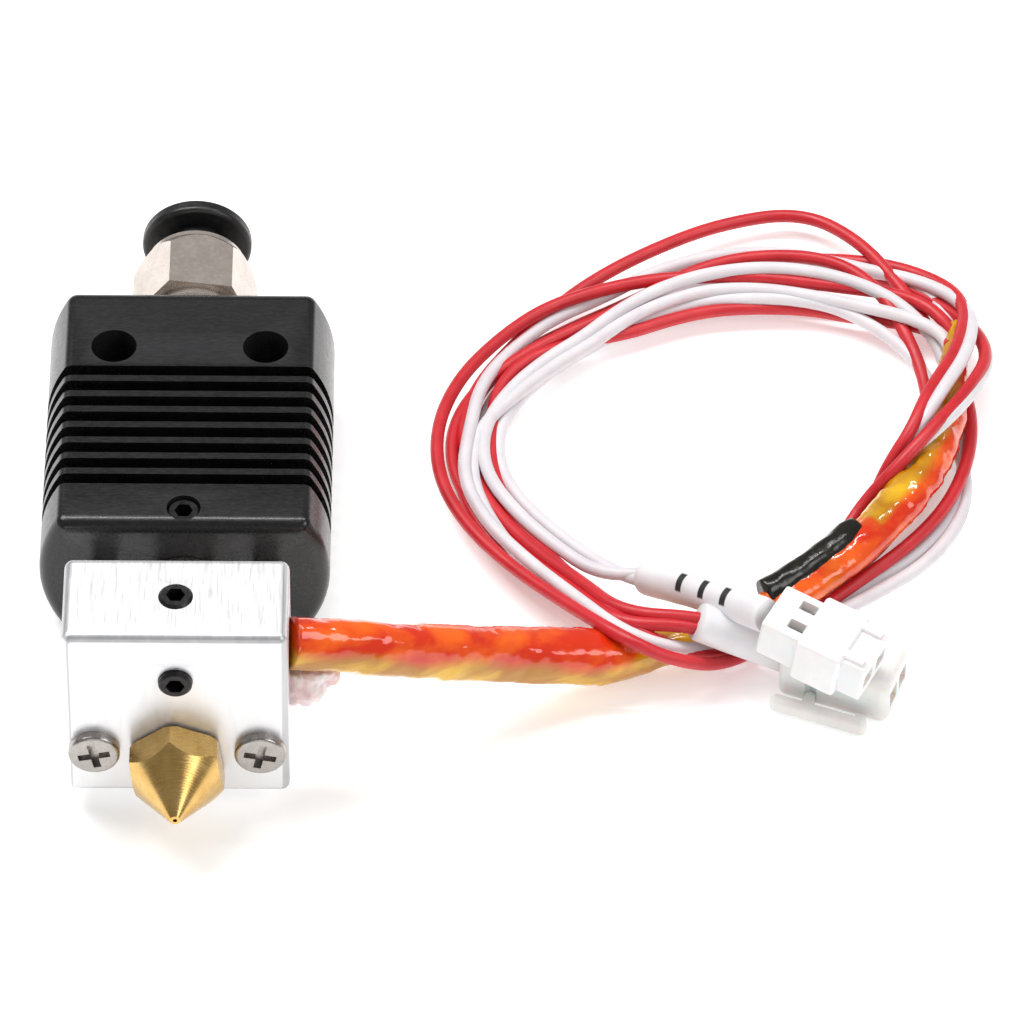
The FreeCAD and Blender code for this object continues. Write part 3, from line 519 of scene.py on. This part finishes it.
def add_piece(name, data, material, slot, *nodes):
    """Puts a piece in the scene on the hotend body, in place of the CAD nodes given."""
    piece = bpy.data.objects.new(name, data)
    bpy.context.scene.collection.objects.link(piece)
    data.materials.append(material)
    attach(piece, BODY)
    if nodes:
        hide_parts(*nodes)
    return piece


# the bundle's radius in millimetres at shares of its length
BUNDLE_PROFILE = [(0.0, 2.35), (0.34, 2.35), (0.43, 1.45), (0.5, 1.4), (0.58, 1.6), (0.66, 1.75),
                  (0.76, 2.0), (0.86, 1.75), (0.94, 1.25), (1.0, 0.75)]


def turned_by(angle, other):
    """The angle between two directions round a tube, from 0 to half a turn."""
    return abs((angle - other + math.pi) % TURN - math.pi)


def stepped(share, profile):
    """A value at a share of the length, eased between the profile's stations."""
    for (first, low), (second, high) in zip(profile, profile[1:]):
        if share <= second:
            part = (share - first) / (second - first)
            return low + (high - low) * part * part * (3 - 2 * part)
    return profile[-1][1]


# Shares of the bundle's length: where its red side fades out before the plugs, where it comes
# out from under them, where its far part starts, and where its tape is more crumpled.
RED_FADES = 0.37
PAST_PLUGS = 0.5
FAR_PART = 0.68
CRUMPLED = 0.72
TAPE_TURNS = 11
TAPE_STEP = 0.10


def bundle_radius(share, angle, place):
    """A taped bundle: soft lobes that twist, wrapped turns of tape, and a tapering tip."""
    radius = stepped(share, BUNDLE_PROFILE)
    # the leads under the tape, as lobes that turn along the bundle
    radius += 0.14 * math.cos(2 * angle + 5.0 * share) + 0.06 * math.cos(4 * angle - 9 * share)
    # the step at the edge of each turn of tape
    wrap = (share * TAPE_TURNS + angle / TURN * 0.55) % 1.0
    radius += TAPE_STEP * (1 - wrap)
    # coarse and fine wrinkles, none at the bundle's very start
    crumple = noise.noise(place * 520) * 0.11 + noise.noise(place * 1700) * 0.05
    if share > CRUMPLED:
        crumple *= 2.2
    smooth_start = min(1.0, share / 0.02)
    return (radius + crumple * smooth_start) * MM


def lead_share(share, angle, place):
    """How much of the red leads shows through the tape at a point of the bundle, from 0 to 1."""
    # red along the upper side at first, then all round, then along one side of the far part
    if share < PAST_PLUGS:
        value = 0.5 + 2.0 * (1.3 - turned_by(angle, 0.0))
        value -= 3.0 * max(0.0, share - RED_FADES) / 0.05
    elif share < FAR_PART:
        value = 1.0
    else:
        value = 0.5 + 2.6 * (math.sin(angle) - 0.4)
    value += 0.6 * noise.noise(place * 210)
    return max(0.0, min(1.0, value))


FIBRE_ROUTE = mm([(9.6, -39.9, 11.4), (11.2, -40.3, 11.0), (12.6, -39.8, 11.9),
                  (14.2, -39.1, 13.2)])


def fibre_tuft(materials):
    """The glass-fibre tail of the sensor: an uneven tuft beside the block, under the bundle."""
    line = even_line(route_line("fibre", FIBRE_ROUTE), 0.12 * MM)

    def radius_at(share, angle, place):
        # fullest near the block, and drawn in over the last quarter
        body = 1.15 + 0.55 * math.sin(math.pi * min(1.0, share * 1.5 + 0.1))
        body *= 1.0 - 0.75 * max(0.0, (share - 0.75) / 0.25) ** 2
        rough = noise.noise(place * 700) * 0.5 + noise.noise(place * 2200) * 0.25
        return (body + rough) * MM

    mesh, _ = tube_mesh("fibre_tuft", line, radius_at, 44)
    return add_piece("fibre_tuft", mesh, materials["glass_fibre"], "glass_fibre",
                     "thermistor_tail")


# the black sleeve lies beside the bundle between these places along X
BLACK_SLEEVE_SPAN = (53.6 * MM, 62.4 * MM)
BLACK_SLEEVE_BESIDE = Vector((-0.75, 0.55, 0.85)) * MM
BLACK_SLEEVE_RADIUS = 1.4


def black_sleeve(bundle_line, materials):
    """A short black sleeve beside the bundle's leads, slightly flat and narrower at its end."""
    first, last = BLACK_SLEEVE_SPAN
    line = [point + BLACK_SLEEVE_BESIDE for point in bundle_line if first < point.x < last]

    def radius_at(share, angle, place):
        end = 1.0 - 0.2 * max(0.0, (share - 0.9) / 0.1)
        uneven = 0.08 * math.cos(2 * angle + 1) + noise.noise(place * 700) * 0.1
        return (BLACK_SLEEVE_RADIUS * end + uneven) * MM

    mesh, _ = tube_mesh("black_sleeve", line, radius_at, 40)
    return add_piece("black_sleeve", mesh, materials["black_sleeve"], "black_sleeve",
                     "bundle_sleeve")


def taped_bundle(materials):
    """The taped leads with the black sleeve and the fibre tail; gives the bundle's line."""
    line = even_line(route_line("taped_bundle", BUNDLE_ROUTE), 0.3 * MM)
    mesh, shares = tube_mesh("taped_bundle", line, bundle_radius, 48)
    lead = mesh.attributes.new("lead", "FLOAT", "POINT")
    for vertex, value, (share, angle) in zip(mesh.vertices, lead.data, shares):
        value.value = lead_share(share, angle, vertex.co)
    bundle = add_piece("taped_bundle", mesh, materials["amber_tape"], "amber_tape", "lead_bundle")
    sleeve = black_sleeve(line, materials)
    fibre_tuft(materials)
    return line


def wire(name, turns, colour, start, end, materials):
    """One wire from inside the bundle's tip, round the coil and into its sleeve."""
    points = [start] + coil_points(turns) + end
    curve = route_curve(name, points, WIRE_DIAMETER / 2)
    made = add_piece(name, curve, materials[colour], "wire_insulation", "wire_coil")
    length_of(route_line(name, points, 8))


# Each wire's name, turns and material, then how far it lies from the centre line where it
# starts in the bundle's tip and where it ends in its sleeve, in millimetres.
WIRES = {
    "heater": [
        ("red_wire_1", RED_ONE, "wire_red", (0.35, 0, 0.45), (0.5, 0.3, 0.2)),
        ("red_wire_2", RED_TWO, "wire_red", (-0.35, 0, 0.45), (-0.5, -0.3, -0.2)),
    ],
    "sensor": [
        ("white_wire_1", WHITE_ONE, "wire_white", (0.4, 0, -0.35), (0.4, 0.4, 0.1)),
        ("white_wire_2", WHITE_TWO, "wire_white", (-0.4, 0, -0.35), (-0.4, -0.4, -0.1)),
    ],
}
# the wires start at this point of the bundle's line, counted back from its tip
START_POINT = 12


def add_wires(plug, bundle_line, sleeve_route, materials):
    """The two wires of one plug, from the bundle's tip to half way along the sleeve's first run."""
    inside = bundle_line[-START_POINT]
    end = [sleeve_route[0], sleeve_route[0].lerp(sleeve_route[1], 0.5)]
    for name, turns, colour, offset, aside in WIRES[plug]:
        start = inside + Vector(offset) * MM
        shift = Vector(aside) * MM
        wire(name, turns, colour, start, [point + shift for point in end], materials)


# the sensor's sleeve carries three plain dark bars, in angle and shares of its length
SLEEVE_MARK_ANGLE = 0.55
SLEEVE_MARK_REACH = 0.55
SLEEVE_MARK_WIDTH = 0.045
SLEEVE_MARKS = (0.36, 0.54, 0.72)


def sleeve_piece(name, route, radius, node, materials, marks=()):
    """A shrunk sleeve over two wires: a little flat, with a slightly uneven surface."""
    line = even_line(route_line(name, route), 0.1 * MM)

    def radius_at(share, angle, place):
        flat = 1.0 + 0.05 * math.cos(2 * angle)
        # rounded off over the first and last 3% of its length
        ends = 1.0 - 0.06 * max(0.0, 1 - share / 0.03) - 0.06 * max(0.0, (share - 0.97) / 0.03)
        return (radius * flat * ends + noise.noise(place * 500) * 0.05) * MM

    mesh, shares = tube_mesh(name, line, radius_at, 60)
    mark = mesh.attributes.new("mark", "FLOAT", "POINT")
    for value, (share, angle) in zip(mark.data, shares):
        along = any(abs(share - centre) < SLEEVE_MARK_WIDTH / 2 for centre in marks)
        around = turned_by(angle, SLEEVE_MARK_ANGLE) < SLEEVE_MARK_REACH
        value.value = float(along and around)
    return add_piece(name, mesh, materials["white_sleeve"], "white_sleeve", node)


FLOOR_SIZE = 3.0
FLOOR_SQUARES = 8
FLOOR_GAP = 0.02 * MM


def add_floor(material):
    """A plain square floor, just below what the hotend lies on."""
    steps = [FLOOR_SIZE * (index / FLOOR_SQUARES - 0.5) for index in range(FLOOR_SQUARES + 1)]
    vertices = [(x, y, -FLOOR_GAP) for y in steps for x in steps]
    faces = []
    for row in range(FLOOR_SQUARES):
        for column in range(FLOOR_SQUARES):
            low = row * len(steps) + column
            high = low + len(steps)
            faces.append((low, low + 1, high + 1, high))
    mesh = bpy.data.meshes.new("floor")
    mesh.from_pydata(vertices, [], faces)
    mesh.materials.append(material)
    floor = bpy.data.objects.new("floor", mesh)
    bpy.context.scene.collection.objects.link(floor)


NODE_MATERIALS = {
    "black_anodised": ["heat_sink"],
    "black_oxide": ["heat_sink_set_screw", "block_set_screws"],
    "steel": ["heat_break", "block_screws", "heater_cartridge", "fitting_grip_ring"],
    "ptfe": ["ptfe_liner"],
    "aluminium": ["heater_block"],
    "brass": ["nozzle"],
    "glass": ["thermistor_bead"],
    "nickel": ["fitting_body", "fitting_retainer"],
    "seal_rubber": ["fitting_seal"],
    "black_plastic": ["release_collar"],
    "natural_nylon": ["heater_plug_housing", "heater_plug_latch"],
    "white_plastic": ["thermistor_plug_housing"],
    "contact_metal": ["heater_plug_contacts", "thermistor_plug_contacts"],
}


def dress_nodes(materials):
    """Gives the CAD nodes that stay visible their materials."""
    for name, nodes in NODE_MATERIALS.items():
        for node in nodes:
            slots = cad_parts[node].data.materials
            slots.clear()
            slots.append(materials[name])


def main():
    materials = make_materials()
    add_camera()
    add_studio()
    add_floor(materials["floor"])
    dress_nodes(materials)
    bundle_line = taped_bundle(materials)
    sensor_sleeve = sleeve_piece("sensor_sleeve", SENSOR_SLEEVE_ROUTE, SENSOR_SLEEVE_RADIUS,
                                 "thermistor_sleeve", materials, SLEEVE_MARKS)
    heater_sleeve = sleeve_piece("heater_wire_sleeve", HEATER_SLEEVE_ROUTE, HEATER_SLEEVE_RADIUS,
                                 "heater_sleeve", materials)
    add_wires("heater", bundle_line, HEATER_SLEEVE_ROUTE, materials)
    add_wires("sensor", bundle_line, SENSOR_SLEEVE_ROUTE, materials)


main()
